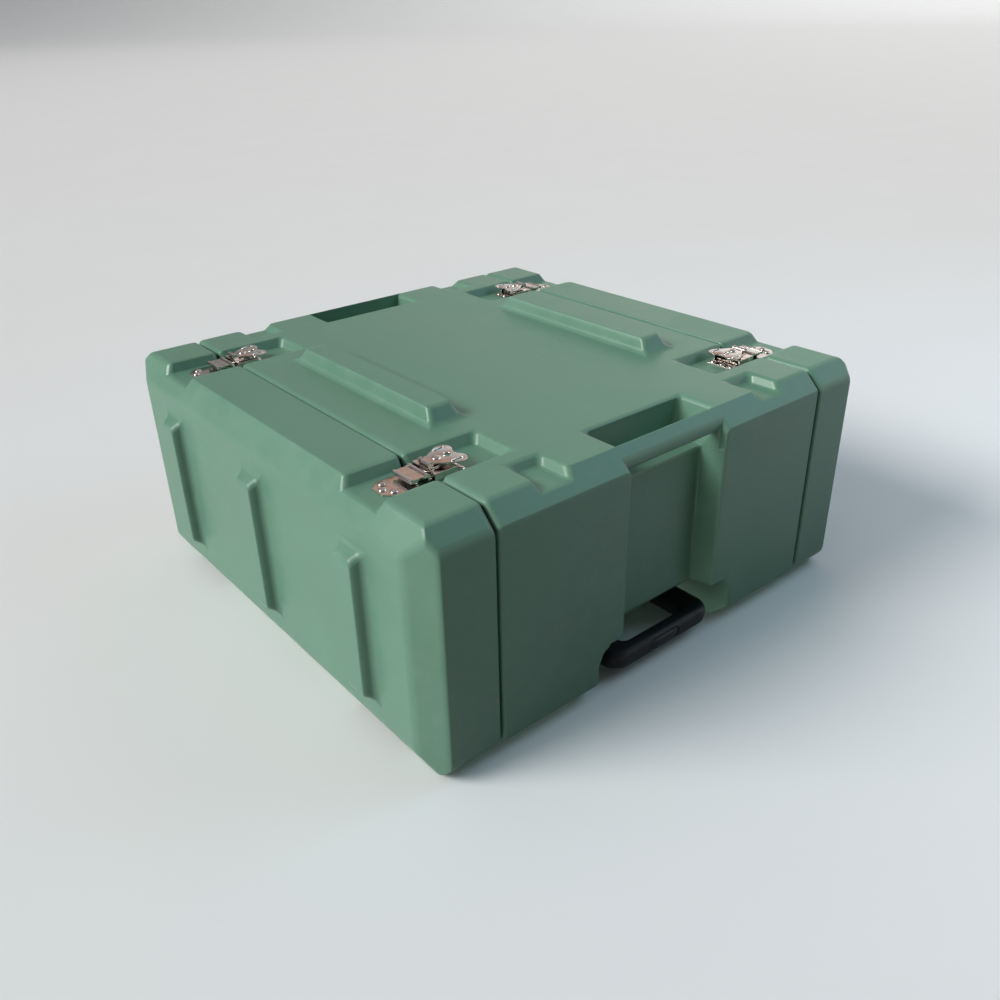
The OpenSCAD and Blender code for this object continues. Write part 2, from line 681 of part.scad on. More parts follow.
module cover_screws() color([0.65, 0.66, 0.68]) {
    for (y = cover_screw_y) both_x() {
        translate([cover_screw_x, y, 0]) cylinder(r1 = 4, r2 = 2, h = cover_t);
        rod_z(cover_t, cover_t + wall - 2, 2, cover_screw_x, y);
    }
    for (y = bracket_ys, x = [-24, 24]) {
        rod_z(channel_h - 6, channel_h + wall - 2, 2.5, x, y + 10);
        rod_z(channel_h - 9, channel_h - 6, 4.5, x, y + 10);
    }
}

socket_back = grip_y + grip_l;            // rear faces of the grip's arms
inner_front = socket_back - 30;
module handle_inner_tubes() color([0.75, 0.76, 0.77]) both_x() difference() {
    rod_y(inner_front, inner_back, inner_r, tube_x, tube_z);
    rod_y(inner_front - 1, inner_back + 1, inner_r - inner_wall, tube_x, tube_z);
}
module handle_glides() color([0.05, 0.05, 0.05]) both_x() {
    rod_y(inner_back, inner_back + 4, bore_r - 0.1, tube_x, tube_z);
    rod_y(inner_back - 14, inner_back, inner_r - inner_wall - fit, tube_x, tube_z);
}

// grip: a flat U with rounded corners, sockets for the tubes and a pocket for the button
module grip_outline() {
    hw = grip_w / 2;
    arm = hw - tube_x;
    difference() {
        union() {
            translate([-hw, grip_r]) square([2 * hw, grip_l - grip_r]);
            translate([grip_r - hw, 0]) square([2 * (hw - grip_r), grip_r + 1]);
            for (s = [-1, 1]) translate([s * (hw - grip_r), grip_r]) circle(grip_r);
        }
        translate([-tube_x + arm + 8, grip_bar]) square([2 * (tube_x - arm - 8), grip_l]);
        translate([-tube_x + arm, grip_bar + 8]) square([2 * (tube_x - arm), grip_l]);
        for (s = [-1, 1]) translate([s * (tube_x - arm - 8), grip_bar + 8]) circle(8);
    }
}
module pull_grip() color([0.04, 0.04, 0.045]) difference() {
    translate([0, grip_y, grip_z]) linear_extrude(grip_t) grip_outline();
    for (s = [-1, 1]) rod_y(inner_front, socket_back + 1, inner_r + fit, s * tube_x, tube_z);
    button_block(slip, button_travel + 8.5);
}
module button_block(g, d) block([-button_w / 2 - g, button_w / 2 + g], [grip_y - (g > 0 ? 5 : 1), grip_y + d],
    [tube_z + 1 - button_h / 2 - g, tube_z + 1 + button_h / 2 + g]);
module release_button() color([0.05, 0.05, 0.05]) button_block(0, 8);

// ---------- wheels ----------
side_y0 = wheel_y - 14;
module wheel_brackets() color([0.65, 0.66, 0.68]) both_x() difference() {
    union() {
        block([wheel_x - 21, wheel_x + 21], [well_y + 3, half_w - 4], [well_h - bracket_t, well_h]);
        for (s = [-1, 1]) translate([wheel_x + s * (21 - bracket_t / 2), 0, 0]) {
            block([-bracket_t / 2, bracket_t / 2], [side_y0, half_w - 4], [wheel_z, well_h]);
            rod_x(-bracket_t / 2, bracket_t / 2, 11, wheel_y, wheel_z);
        }
    }
    rod_x(wheel_x - 30, wheel_x + 30, axle_d / 2 + fit, wheel_y, wheel_z);
}
module wheel_axles() color([0.65, 0.66, 0.68]) both_x() {
    rod_x(wheel_x - 24, wheel_x + 24, axle_d / 2, wheel_y, wheel_z);
    for (s = [-1, 1]) rod_x(wheel_x + s * 22.5 - 1.5, wheel_x + s * 22.5 + 1.5, 6.5, wheel_y, wheel_z);
}
tyre_t = 6;
module wheel_hub(side) color([0.15, 0.15, 0.16]) difference() {
    translate([side * wheel_x, wheel_y, wheel_z]) rotate([0, 90, 0]) rotate_extrude() difference() {
        translate([0, -wheel_w / 2]) square([wheel_d / 2 - tyre_t, wheel_w]);
        for (s = [-1, 1]) translate([12, s * wheel_w / 2 - 5]) square([9, 10]);
    }
    rod_x(side * wheel_x - wheel_w, side * wheel_x + wheel_w, axle_d / 2 + 0.08, wheel_y, wheel_z);
}
module wheel_tyre(side) color([0.05, 0.05, 0.05])
    translate([side * wheel_x, wheel_y, wheel_z]) rotate([0, 90, 0]) rotate_extrude()
        polygon([[wheel_d / 2 - tyre_t, -wheel_w / 2], [wheel_d / 2 - 2, -wheel_w / 2],
            [wheel_d / 2, -wheel_w / 2 + 4], [wheel_d / 2, wheel_w / 2 - 4],
            [wheel_d / 2 - 2, wheel_w / 2], [wheel_d / 2 - tyre_t, wheel_w / 2]]);

body_shell();
lid_left();
lid_right();
seal_left();
seal_right();
latch_housings();
latch_rivets();
keepers(0);  // keepers_left
keepers(1);  // keepers_right
keeper_rivet_set(0);  // keeper_rivets_left
keeper_rivet_set(1);  // keeper_rivets_right
rack_side_plates();
rack_rails();
rack_cross_bars();
rack_bolts();
shock_rubbers();
shock_flanges();
shock_screws();
handle_outer_tubes();
handle_tube_bushes();
handle_tube_brackets();
channel_cover();
cover_screws();
handle_inner_tubes();
handle_glides();
pull_grip();
release_button();
wheel_brackets();
wheel_axles();
wheel_hub(-1);  // wheel_left_hub
wheel_tyre(-1);  // wheel_left_tyre
wheel_hub(1);  // wheel_right_hub
wheel_tyre(1);  // wheel_right_tyre
latch_part(0, 1, 1) spindle();  // spindle_left_front_top
latch_part(0, 0, 1) spindle();  // spindle_left_back_top
latch_part(0, 1, 0) spindle();  // spindle_left_front_under
latch_part(0, 0, 0) spindle();  // spindle_left_back_under
latch_part(1, 1, 1) spindle();  // spindle_right_front_top
latch_part(1, 0, 1) spindle();  // spindle_right_back_top
latch_part(1, 1, 0) spindle();  // spindle_right_front_under
latch_part(1, 0, 0) spindle();  // spindle_right_back_under
latch_part(0, 1, 1) wing();  // wing_left_front_top
latch_part(0, 0, 1) wing();  // wing_left_back_top
latch_part(0, 1, 0) wing();  // wing_left_front_under
latch_part(0, 0, 0) wing();  // wing_left_back_under
latch_part(1, 1, 1) wing();  // wing_right_front_top
latch_part(1, 0, 1) wing();  // wing_right_back_top
latch_part(1, 1, 0) wing();  // wing_right_front_under
latch_part(1, 0, 0) wing();  // wing_right_back_under
latch_part(0, 1, 1) draw_link();  // link_left_front_top
latch_part(0, 0, 1) draw_link();  // link_left_back_top
latch_part(0, 1, 0) draw_link();  // link_left_front_under
latch_part(0, 0, 0) draw_link();  // link_left_back_under
latch_part(1, 1, 1) draw_link();  // link_right_front_top
latch_part(1, 0, 1) draw_link();  // link_right_back_top
latch_part(1, 1, 0) draw_link();  // link_right_front_under
latch_part(1, 0, 0) draw_link();  // link_right_back_under
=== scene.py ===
# %% [markdown]
# # A hard equipment case
# The case is a green moulded sleeve with a lid at each end, twist latches over both parting lines,
# hand bars, a black pull handle in a bay under the front face, wheels and a shock-mounted rack.
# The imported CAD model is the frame: its pieces keep their sizes and places, and each cell below
# gives them soft edges, finer shapes and finishes.

# %% Load the frame
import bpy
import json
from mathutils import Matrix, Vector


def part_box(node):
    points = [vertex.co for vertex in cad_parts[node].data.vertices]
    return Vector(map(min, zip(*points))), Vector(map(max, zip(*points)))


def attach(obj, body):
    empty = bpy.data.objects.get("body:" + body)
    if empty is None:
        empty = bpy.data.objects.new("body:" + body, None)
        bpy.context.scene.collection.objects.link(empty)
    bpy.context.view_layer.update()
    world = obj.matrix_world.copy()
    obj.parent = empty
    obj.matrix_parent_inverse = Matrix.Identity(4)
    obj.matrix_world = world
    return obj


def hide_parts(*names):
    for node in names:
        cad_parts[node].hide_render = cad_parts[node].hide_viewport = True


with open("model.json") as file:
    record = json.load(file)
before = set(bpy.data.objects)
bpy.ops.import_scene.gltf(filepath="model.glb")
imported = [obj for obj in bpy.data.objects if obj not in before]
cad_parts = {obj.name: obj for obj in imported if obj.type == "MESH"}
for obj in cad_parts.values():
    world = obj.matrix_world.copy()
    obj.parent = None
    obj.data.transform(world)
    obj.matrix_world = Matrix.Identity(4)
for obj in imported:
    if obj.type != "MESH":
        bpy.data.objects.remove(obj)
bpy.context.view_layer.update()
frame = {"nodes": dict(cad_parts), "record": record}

import json
import math
import bmesh
import bpy
import numpy as np
from mathutils import Matrix, Vector

MM = 0.001
NODES = frame["nodes"]
BODY_OF = {n: b for b, members in frame["record"]["behaviour"]["bodies"].items() for n in members}
SLOT_OF = {s["node"]: s["material_slot"] for s in frame["record"]["subparts"]}

# %% [markdown]
# ## Camera
# A camera is a place, a direction and a lens. The view stands at the front left of the case, a
# little above it, close enough for clear perspective. The three directions below are unit vectors:
# where it looks, and which way is up in the view.

# %% Camera
EYE = Vector((-0.6771, -0.8568, 0.6619))
LOOK = Vector((0.5559, 0.6841, -0.4722)).normalized()
UP = Vector((0.3157, 0.3517, 0.8813))
right = LOOK.cross(UP).normalized()
up = right.cross(LOOK).normalized()
lens = bpy.data.cameras.new("case_camera")
lens.sensor_width = 36
lens.lens = 33.67
lens.clip_start, lens.clip_end = 0.01, 500
camera = bpy.data.objects.new("case_camera", lens)
bpy.context.scene.collection.objects.link(camera)
turn = Matrix((right, up, -LOOK)).transposed()
camera.matrix_world = Matrix.Translation(EYE) @ turn.to_4x4()
bpy.context.scene.camera = camera
print("camera at", tuple(round(c, 3) for c in EYE))

# %% [markdown]
# ## A small kit for materials
# Every finish is a Principled shader whose colour, roughness and bump come from noise. The noise
# reads Object coordinates, so the grain has its true size in metres and stays put when a piece
# moves. These helpers add a node and join its inputs in one line.

# %% Material helpers
def new_material(name, **constants):
    """An empty Principled material; constants set plain sockets, such as Metallic=1."""
    mat = bpy.data.materials.new(name)
    mat.use_nodes = True
    shader = mat.node_tree.nodes["Principled BSDF"]
    for key, value in constants.items():
        shader.inputs[key.replace("_", " ")].default_value = value
    return mat, shader


def add(mat, kind, inputs=(), **settings):
    """A node of that kind; inputs maps a socket to a number, a colour or another node's socket."""
    node = mat.node_tree.nodes.new("ShaderNode" + kind)
    for key, value in settings.items():
        setattr(node, key, value)
    for key, value in dict(inputs).items():
        if isinstance(value, bpy.types.NodeSocket):
            mat.node_tree.links.new(value, node.inputs[key])
        else:
            node.inputs[key].default_value = value
    return node


def join(mat, out, socket):
    mat.node_tree.links.new(out, socket)


def object_place(mat, scale=(1, 1, 1)):
    """Object coordinates, stretched by scale."""
    where = add(mat, "TexCoord")
    return add(mat, "Mapping", {"Vector": where.outputs["Object"], "Scale": scale}).outputs[0]


def noise(mat, place, scale, detail=3.0, rough=0.5):
    """Noise of about 1/scale metres a blob, from 0 to 1."""
    return add(mat, "TexNoise", {"Vector": place, "Scale": scale, "Detail": detail,
                                 "Roughness": rough}).outputs["Fac"]


def spread(mat, value, low, high, to_low, to_high):
    """Maps the range low..high of a value to another range, and holds it inside."""
    return add(mat, "MapRange", {"Value": value, "From Min": low, "From Max": high,
                                 "To Min": to_low, "To Max": to_high}).outputs[0]


def mix(mat, fac, a, b, how="MIX"):
    """Colour a where fac is 0 and colour b where it is 1."""
    node = add(mat, "Mix", data_type="RGBA", blend_type=how)
    for socket, value in ((node.inputs[0], fac), (node.inputs[6], a), (node.inputs[7], b)):
        if isinstance(value, bpy.types.NodeSocket):
            mat.node_tree.links.new(value, socket)
        else:
            socket.default_value = value
    return node.outputs[2]


def bump(mat, shader, layers):
    """Chains bump layers of (height, depth in metres, strength) into the shader's normal."""
    last = None
    for height, depth, strength in layers:
        links = {"Height": height, "Distance": depth, "Strength": strength}
        if last is not None:
            links["Normal"] = last
        last = add(mat, "Bump", links).outputs[0]
    join(mat, last, shader.inputs["Normal"])

# %% [markdown]
# ## Moulded green plastic
# The shells are polyethylene spun in a hot mould. Its skin is satin, with a fine grain from the
# mould wall and faint cloudy patches where the melt cooled at different speeds, and use leaves pale
# scuffs and specks. Noise of several sizes gives these, from half-millimetre grain to clouds as
# wide as a hand.

# %% Green plastic
DEEP_GREEN = (0.106, 0.240, 0.160, 1)
MID_GREEN = (0.130, 0.272, 0.190, 1)
PALE_GREEN = (0.178, 0.310, 0.226, 1)
SCUFF_GREEN = (0.27, 0.40, 0.33, 1)
SPECK_GREEN = (0.34, 0.46, 0.40, 1)


def green_plastic():
    """Two greens by cloud noise, pale scuffs by stretched noise, and a grain for the bump."""
    mat, shader = new_material("moulded_green", Specular_IOR_Level=0.55)
    place = object_place(mat)
    clouds = noise(mat, place, 6, 3, 0.55)
    mottle = noise(mat, place, 55, 4, 0.6)
    grain = noise(mat, place, 1900, 2)
    base = mix(mat, spread(mat, clouds, 0.35, 0.65, 0, 1), DEEP_GREEN, MID_GREEN)
    base = mix(mat, spread(mat, mottle, 0.45, 0.75, 0, 0.30), base, PALE_GREEN)
    scuffs = noise(mat, object_place(mat, (1, 5, 14)), 38, 5, 0.7)
    base = mix(mat, spread(mat, scuffs, 0.67, 0.75, 0, 0.20), base, SCUFF_GREEN)
    specks = noise(mat, place, 240, 2, 0.5)
    base = mix(mat, spread(mat, specks, 0.76, 0.80, 0, 0.35), base, SPECK_GREEN)
    join(mat, base, shader.inputs["Base Color"])
    gloss = mix(mat, spread(mat, clouds, 0.4, 0.62, 0, 1), (0.33, 0.33, 0.33, 1), (0.44, 0.44, 0.44, 1))
    level = add(mat, "Math", {0: gloss, 1: spread(mat, mottle, 0.3, 0.7, -0.03, 0.05)}, operation="ADD")
    join(mat, level.outputs[0], shader.inputs["Roughness"])
    bump(mat, shader, [(noise(mat, place, 16, 2), 0.0008, 0.30), (mottle, 0.0002, 0.3),
                       (grain, 0.00006, 0.40)])
    return mat


GREEN = green_plastic()
print("green plastic has", len(GREEN.node_tree.nodes), "nodes")

# %% [markdown]
# ## Metals
# The latches are pressed steel with a bright nickel plate: nearly a mirror, with fine polishing lines
# and small stains. Its warm tint is partly the nickel's own colour and partly a painted warm reflection.
# The rack's bolts and the wheel brackets have a duller zinc plate, and the handle tubes are satin
# aluminium. One function makes all three, since they differ only in colour, roughness and the size of
# their marks.

# %% Metals
def plated(name, tint, stain, rough, streak):
    """Metal with fine lines drawn out along X by streak, cloudy stains and a soft unevenness."""
    mat, shader = new_material(name, Metallic=1.0)
    lines = noise(mat, object_place(mat, (1, streak, streak)), 260, 3, 0.6)
    spots = noise(mat, object_place(mat), 95, 5, 0.65)
    fine = noise(mat, object_place(mat), 900, 2)
    base = mix(mat, spread(mat, spots, 0.48, 0.78, 0, 0.8), tint, stain)
    join(mat, base, shader.inputs["Base Color"])
    level = add(mat, "Math", {0: spread(mat, lines, 0.3, 0.7, rough * 0.7, rough * 1.3),
                              1: spread(mat, spots, 0.5, 0.8, 0, 0.12)}, operation="ADD").outputs[0]
    join(mat, level, shader.inputs["Roughness"])
    bump(mat, shader, [(noise(mat, object_place(mat), 70, 1), 0.0003, 0.12), (lines, 0.00003, 0.2),
                       (fine, 0.00001, 0.25)])
    return mat


# The nickel's warm tint is partly the metal's own colour and partly a painted warm reflection.
NICKEL = plated("bright_nickel", (0.72, 0.65, 0.61, 1), (0.36, 0.27, 0.23, 1), 0.13, 6)
ZINC = plated("zinc_plate", (0.66, 0.68, 0.70, 1), (0.50, 0.50, 0.47, 1), 0.30, 3)
ALUMINIUM = plated("satin_aluminium", (0.80, 0.81, 0.82, 1), (0.68, 0.69, 0.70, 1), 0.26, 12)
print("metals", NICKEL.name, ZINC.name, ALUMINIUM.name)

# %% [markdown]
# ## Black plastic, rubber and powder coat
# These are all near black, so their surface tells them apart: the handle's nylon has a fine
# leathery grain, rubber is dull with a dusty bloom, and the rack's powder coat has an orange-peel
# skin with small glossy dimples.

# %% Dark finishes
def dark(name, colour, dusty, rough, peel, peel_depth, dust=0.25, gloss=0.5):
    """Near-black finish: peel is how fine the grain is, dusty the colour of its bloom, dust how much."""
    mat, shader = new_material(name, Specular_IOR_Level=gloss)
    place = object_place(mat)
    patches = noise(mat, place, 28, 4, 0.6)
    skin = noise(mat, place, peel, 2)
    base = mix(mat, spread(mat, patches, 0.45, 0.75, 0, dust), colour, dusty)
    join(mat, base, shader.inputs["Base Color"])
    join(mat, spread(mat, patches, 0.3, 0.7, rough - 0.06, rough + 0.08), shader.inputs["Roughness"])
    bump(mat, shader, [(skin, peel_depth, 0.4), (noise(mat, place, peel * 3, 1), peel_depth / 3, 0.3)])
    return mat


BLACK = dark("black_nylon", (0.004, 0.004, 0.006, 1), (0.010, 0.010, 0.012, 1),
             rough=0.50, peel=900, peel_depth=0.1 * MM, gloss=0.25)
RUBBER = dark("black_rubber", (0.014, 0.014, 0.014, 1), (0.06, 0.058, 0.054, 1),
              rough=0.72, peel=500, peel_depth=0.1 * MM, dust=0.5)
TYRE = dark("wheel_rubber", (0.020, 0.020, 0.020, 1), (0.10, 0.095, 0.085, 1),
            rough=0.66, peel=350, peel_depth=0.15 * MM, dust=0.5)
COAT = dark("powder_coat", (0.018, 0.018, 0.020, 1), (0.030, 0.030, 0.032, 1),
            rough=0.36, peel=700, peel_depth=0.12 * MM)
print("dark finishes", [m.name for m in (BLACK, RUBBER, TYRE, COAT)])

FINISH = {"green_plastic": GREEN, "nickel_steel": NICKEL, "zinc_steel": ZINC,
          "handle_aluminium": ALUMINIUM, "black_plastic": BLACK, "black_rubber": RUBBER,
          "tyre_rubber": TYRE, "black_painted_steel": COAT}

# %% [markdown]
# ## Rounding a CAD solid
# A moulded or pressed piece has no sharp edge anywhere. The CAD solid gives the faces, and a Bevel
# modifier rounds the edges between them. One width for all would tear narrow walls, so each edge
# gets its own weight. The first step is to find which triangles lie in one flat region, because an
# edge inside a region is no edge of the piece. Triangles that meet without an angle share a label.

# %% Flat regions
FLAT = math.radians(0.4)
SAME_POINT = 0.002 * MM


def flat_regions(bm):
    """Labels each face with its flat region: faces that meet without an angle share a label."""
    label = list(range(len(bm.faces)))

    def top(a):
        while label[a] != a:
            label[a] = label[label[a]]
            a = label[a]
        return a
    bends = []
    for e in bm.edges:
        if len(e.link_faces) == 2 and e.calc_face_angle(0) < FLAT:
            label[top(e.link_faces[0].index)] = top(e.link_faces[1].index)
        elif len(e.link_faces) == 2:
            bends.append(e)
    return [top(i) for i in range(len(bm.faces))], bends


print("faces that meet at less than", round(math.degrees(FLAT), 1), "degrees count as one")

# %% [markdown]
# ## Room for a round edge
# A round edge eats into both of its faces. The room beside it is measured in the plane of each
# face, as the distance to the nearest other edge of that region. This works on arrays of edge ends,
# one region at a time. An edge takes less than half of the room, so that its neighbour fits too.

# %% Edge room
ROOM_SHARE = 0.46
IN_LINE = 0.97
NO_LIMIT = 1.0
TOUCH = 0.01 * MM


def room_beside(e, face, starts, ends, ids, touching):
    """Distance in the face's plane from edge e to the nearest other edge of its region."""
    a, b = np.array(e.verts[0].co), np.array(e.verts[1].co)
    length = np.linalg.norm(b - a)
    along = (b - a) / length
    inward = np.cross(np.array(face.normal), along)
    if np.dot(np.array(face.calc_center_median()) - a, inward) < 0:
        inward = -inward
    use = ~np.isin(ids, touching)
    x0, x1 = (starts[use] - a) @ along, (ends[use] - a) @ along
    y0, y1 = (starts[use] - a) @ inward, (ends[use] - a) @ inward
    dx = np.where(np.abs(x1 - x0) < 1e-9, 1e-9, x1 - x0)
    t0, t1 = np.clip(-x0 / dx, 0, 1), np.clip((length - x0) / dx, 0, 1)
    near = np.minimum(y0 + (y1 - y0) * t0, y0 + (y1 - y0) * t1)
    hit = (np.maximum(x0, x1) > 0) & (np.minimum(x0, x1) < length) & (near > TOUCH)
    return near[hit].min() if hit.any() else NO_LIMIT


def width_for(e, radius, region, edges_of):
    """The radius an edge can take: a share of the room beside it and of the edges at its ends."""
    way = (e.verts[1].co - e.verts[0].co).normalized()
    touching = [g.index for v in e.verts for g in v.link_edges]
    width = radius
    for f in e.link_faces:
        width = min(width, ROOM_SHARE * room_beside(e, f, *edges_of[region[f.index]], touching))
    for v in e.verts:
        for g in v.link_edges:
            other = (g.other_vert(v).co - v.co).normalized()
            if g is not e and g.calc_face_angle(0) > FLAT and abs(other.dot(way)) < IN_LINE:
                width = min(width, ROOM_SHARE * g.calc_length())
    return width


print("an edge may take", ROOM_SHARE, "of the room beside it")

# %% [markdown]
# ## A rounded copy
# The copy's triangles are merged first, so that they share their edges. Bevel then reads each
# edge's weight, and hardened normals keep the flat faces flat to the light. Edges of a curved face,
# which bend only a little, are left smooth, and an edge with no room stays sharp. The copy gets its
# finish, rides on its body and stands for its CAD node.

# %% Rounded copies
CURVE_STEP = math.radians(9)
THINNEST = 0.04


def dress(piece, body, slot, *stands_for):
    """Gives a piece its finish, its moving body and the CAD nodes that it stands for."""
    piece.data.materials.clear()
    piece.data.materials.append(FINISH[slot])
    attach(piece, body)
    if stands_for:
        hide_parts(*stands_for)


def rounded_copy(node, radius, steps=3, shortest=0.0):
    """A copy of a CAD node whose edges are rounded by up to radius, and which stands for it."""
    piece = bpy.data.objects.new(node + "_look", NODES[node].data.copy())
    bpy.context.scene.collection.objects.link(piece)
    for stale in ("custom_normal", "sharp_edge", "sharp_face"):
        if stale in piece.data.attributes:
            piece.data.attributes.remove(piece.data.attributes[stale])
    bm = bmesh.new()
    bm.from_mesh(piece.data)
    weight = bm.edges.layers.float.new("bevel_weight_edge")
    bmesh.ops.remove_doubles(bm, verts=bm.verts, dist=SAME_POINT)
    bm.edges.index_update()
    bm.faces.index_update()
    region, bends = flat_regions(bm)
    by_region = {}
    for e in bends:
        for f in e.link_faces:
            by_region.setdefault(region[f.index], []).append(e)
    edges_of = {k: (np.array([e.verts[0].co for e in v]), np.array([e.verts[1].co for e in v]),
                    np.array([e.index for e in v])) for k, v in by_region.items()}
    count = 0
    for e in bends:
        if e.calc_face_angle(0) < CURVE_STEP:
            continue
        if e.calc_length() < shortest:
            e.smooth = False
            continue
        width = width_for(e, radius, region, edges_of)
        if width < THINNEST * radius:
            e.smooth = False
            continue
        e[weight] = width / radius
        count += 1
    bm.to_mesh(piece.data)
    bm.free()
    piece.data.shade_smooth()
    soft = piece.modifiers.new("soft_edges", "BEVEL")
    soft.limit_method = "WEIGHT"
    soft.width = radius
    soft.segments = steps
    soft.use_clamp_overlap = False
    soft.harden_normals = True
    dress(piece, BODY_OF[node], SLOT_OF[node], node)
    return piece, count


print("bends under", round(math.degrees(CURVE_STEP)), "degrees belong to a curved face")

# %% [markdown]
# ## The three shells
# The sleeve and the lids are the largest pieces, and their soft corners are what makes them look
# moulded. Their edges get a 6 mm radius. Small drilled holes keep their rims, so edges shorter than
# 3.5 mm are left alone.

# %% Shells
SHELL_RADIUS = 6 * MM
HOLE_EDGE = 3.5 * MM
for shell in ("body_shell", "lid_left", "lid_right"):
    piece, count = rounded_copy(shell, SHELL_RADIUS, 4, HOLE_EDGE)
    print(piece.name, "has", count, "rounded edges")

# %% [markdown]
# ## Surfaces from grids of points
# The other fine shapes are surfaces: a grid of points that depends on two numbers, one along the
# rows and one along the columns. A turned piece, such as a rivet, is a profile carried round an
# axis. A swept piece, such as the grip, is a section carried along a path. Both fill whole arrays
# at once, and one function turns a stack of such grids into a mesh.

# %% Grid to mesh
WELD = 0.001 * MM


def surface(name, grids, close_columns=True, close_rows=False):
    """Faces between neighbouring points of every grid in a stack of shape copies, rows, columns, 3."""
    copies, rows, columns = grids.shape[:3]
    index = np.arange(copies * rows * columns).reshape(copies, rows, columns)
    if close_columns:
        index = np.concatenate([index, index[:, :, :1]], axis=2)
    if close_rows:
        index = np.concatenate([index, index[:, :1]], axis=1)
    corners = [index[:, :-1, :-1], index[:, :-1, 1:], index[:, 1:, 1:], index[:, 1:, :-1]]
    quads = np.stack([c.ravel() for c in corners], axis=1)
    mesh = bpy.data.meshes.new(name)
    mesh.from_pydata(grids.reshape(-1, 3).tolist(), [], quads.tolist())
    bm = bmesh.new()
    bm.from_mesh(mesh)
    bmesh.ops.remove_doubles(bm, verts=bm.verts, dist=WELD)
    bmesh.ops.dissolve_degenerate(bm, edges=bm.edges, dist=WELD / 10)
    bmesh.ops.recalc_face_normals(bm, faces=bm.faces)
    bm.to_mesh(mesh)
    bm.free()
    mesh.shade_smooth()
    piece = bpy.data.objects.new(name, mesh)
    bpy.context.scene.collection.objects.link(piece)
    return piece


def turned(profile, centre, axis, sides=32):
    """Profile points (radius, height) carried round the line through centre along X, Y or Z."""
    angle = np.linspace(0, 2 * np.pi, sides, endpoint=False)
    radius, height = np.asarray(profile, float).T
    ring = np.stack([radius[:, None] * np.cos(angle), radius[:, None] * np.sin(angle),
                     np.repeat(height[:, None], sides, axis=1)], axis=2)
    return np.roll(ring, "XYZ".index(axis) + 1, axis=2) + np.asarray(centre, float)


print("points closer than", WELD, "m are merged")

# %% [markdown]
# ## Finding repeated solids
# Rivets of one kind share a CAD node, so their places are read back from its mesh. Triangles that
# share a point belong to one solid: every point takes the lowest label in its triangles, again and
# again, until nothing changes.

# %% Separate solids
def solids_of(node):
    """Lowest and highest corners of each separate solid of a node."""
    mesh = NODES[node].data
    points = np.empty(len(mesh.vertices) * 3)
    mesh.vertices.foreach_get("co", points)
    points = points.reshape(-1, 3)
    corners = np.empty(len(mesh.loops), dtype=int)
    mesh.loops.foreach_get("vertex_index", corners)
    _, same = np.unique(np.round(points / SAME_POINT), axis=0, return_inverse=True)
    faces = same.ravel()[corners].reshape(-1, 3)
    label = np.arange(faces.max() + 1)
    while True:
        low = label[faces].min(axis=1)
        new = label.copy()
        np.minimum.at(new, faces.ravel(), np.repeat(low, 3))
        if (new == label).all():
            break
        label = new
    owner = label[same.ravel()]
    return [(points[owner == k].min(axis=0), points[owner == k].max(axis=0)) for k in np.unique(owner)]


print("latch rivets", len(solids_of("latch_rivets")))

# %% [markdown]
# ## Rivets
# Each latch and keeper is held by three rivets set through the plastic. A set rivet has a low
# domed head, bright from the setting tool, and a flat tail inside the wall. The profile is a
# quarter of an ellipse for the dome, then the shank and the tail, turned round the rivet's axis.

# %% Rivets
DOME_H = 2.3 * MM
TAIL_H = 2.0 * MM
TAIL_R = 3.9 * MM
SHANK_R = 2.4 * MM
CONE_H = 1.4 * MM


def rivet_profile(head_r, height):
    """From the tail's middle, up the shank and over the dome, as rows of (radius, height)."""
    t = np.linspace(0, np.pi / 2, 9)
    dome = np.stack([head_r * np.cos(t), height - CONE_H + DOME_H * np.sin(t)], axis=1)
    stem = [(0, 0), (TAIL_R, 0), (TAIL_R, TAIL_H), (SHANK_R, TAIL_H), (SHANK_R, height - CONE_H)]
    return np.concatenate([stem, dome])


for node in ("latch_rivets", "keeper_rivets_left", "keeper_rivets_right"):
    grids = []
    for low, high in solids_of(node):
        middle = (low + high) / 2
        profile = rivet_profile((high[0] - low[0]) / 2, high[2] - low[2])
        if middle[2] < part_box("body_shell")[1][2] / 2:
            profile[:, 1] = (high[2] - low[2]) - profile[:, 1]
        grids.append(turned(profile, (middle[0], middle[1], low[2]), "Z", 24))
    piece = surface(node + "_look", np.stack(grids))
    dress(piece, BODY_OF[node], SLOT_OF[node], node)
    print(piece.name, len(grids), "rivets")

# %% [markdown]
# ## Latch wings
# The wing is the butterfly-shaped plate that a thumb lifts and turns. It is stamped from sheet
# steel: a flat outline with holes and a little thickness. The outline lies where a blend of two
# round lobes and a widening neck comes to zero, found along rays from the wing's middle, all at
# once. A flat curve fills it round its holes. Pressed rims stand round the holes, a domed rivet
# sits on the neck, and a barrel carries the hinge pin.

# %% Wing outline
LOBE_R = 9 * MM
LOBE_AT = (29 * MM, 12 * MM)
TIP_DIP = 33.5 * MM
NECK_START, NECK_END = 2.1 * MM, 3.4 * MM
NECK_HALF, NECK_GAIN, NECK_RUN = 5.7 * MM, 13.5 * MM, 21 * MM
BLEND = 3 * MM
MIDDLE = 22 * MM
FARTHEST = 40 * MM
OUTLINE_POINTS = 240


def wing_level(a, b):
    """Below zero inside the wing: the blended least of the distances to a lobe and to the neck."""
    b = np.abs(b)
    lobe = np.hypot(a - LOBE_AT[0], b - LOBE_AT[1]) - LOBE_R
    side = NECK_HALF + NECK_GAIN * np.clip((a - NECK_END) / NECK_RUN, 0, 1) ** 0.75
    neck = np.maximum(np.maximum(b - side, a - TIP_DIP), NECK_START - a)
    share = np.clip(0.5 + 0.5 * (neck - lobe) / BLEND, 0, 1)
    return neck * (1 - share) + lobe * share - BLEND * share * (1 - share)


